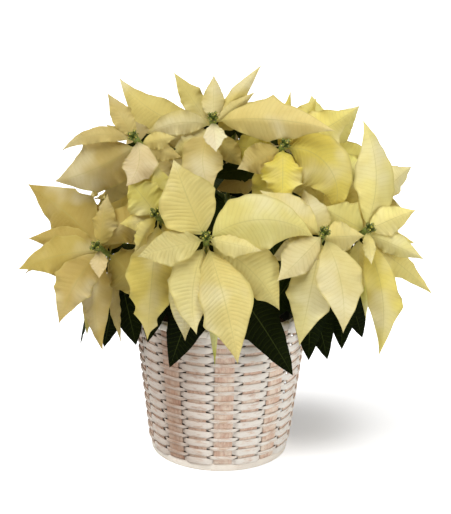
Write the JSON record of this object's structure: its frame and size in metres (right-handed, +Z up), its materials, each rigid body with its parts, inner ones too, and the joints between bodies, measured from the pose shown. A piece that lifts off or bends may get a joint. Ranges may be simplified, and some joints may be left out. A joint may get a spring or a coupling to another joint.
{
  "type": "poinsettia in a woven basket",
  "caption": "Flowering cream poinsettia with green leaves, rooted in a nursery pot inside a whitewashed woven basket, for standing on a table or floor.",
  "frame": {"origin": "centre of the basket's flat underside", "axes": "+Z up, -Y towards the front, +X to the right as seen from the front"},
  "size_m": [0.4524, 0.3642, 0.4412],
  "materials": {
    "bract": "soft matte petal-like bracts, cream yellow",
    "leaf": "satin dark green leaves and green stems",
    "cyathia": "small waxy green-yellow buds",
    "trunk": "dull young woody stem",
    "wicker": "whitewashed split wood, matte",
    "hoop": "pale peeled hoop, satin",
    "pot": "thin moulded nursery pot",
    "soil": "dark crumbly potting soil"
  },
  "bodies": {
    "root": {"basket_base_board": "wicker", "basket_foot_hoop": "hoop", "basket_rim": "wicker", "basket_wall": "wicker", "bloom_back_centre": "bract", "bloom_back_far_right": "bract", "bloom_back_left": "bract", "bloom_back_right": "bract", "bloom_centre_front": "bract", "bloom_far_right": "bract", "bloom_left": "bract", "bloom_left_side": "bract", "bloom_middle_left": "bract", "bloom_right": "bract", "bloom_right_front": "bract", "bloom_top": "bract", "bloom_top_back": "bract", "bloom_top_back_left": "bract", "bloom_top_left": "bract", "bloom_upper_right": "bract", "cyathia_back_centre": "cyathia", "cyathia_back_far_right": "cyathia", "cyathia_back_left": "cyathia", "cyathia_back_right": "cyathia", "cyathia_centre_front": "cyathia", "cyathia_far_right": "cyathia", "cyathia_left": "cyathia", "cyathia_left_side": "cyathia", "cyathia_middle_left": "cyathia", "cyathia_right": "cyathia", "cyathia_right_front": "cyathia", "cyathia_top": "cyathia", "cyathia_top_back": "cyathia", "cyathia_top_back_left": "cyathia", "cyathia_top_left": "cyathia", "cyathia_upper_right": "cyathia", "nursery_pot": "pot", "soil": "soil", "stem_back_centre": "leaf", "stem_back_far_right": "leaf", "stem_back_left": "leaf", "stem_back_right": "leaf", "stem_centre_front": "leaf", "stem_far_right": "leaf", "stem_left": "leaf", "stem_left_side": "leaf", "stem_middle_left": "leaf", "stem_right": "leaf", "stem_right_front": "leaf", "stem_top": "leaf", "stem_top_back": "leaf", "stem_top_back_left": "leaf", "stem_top_left": "leaf", "stem_upper_right": "leaf", "trunk_back": "trunk", "trunk_left": "trunk", "trunk_right": "trunk"}
  },
  "joints": []
}
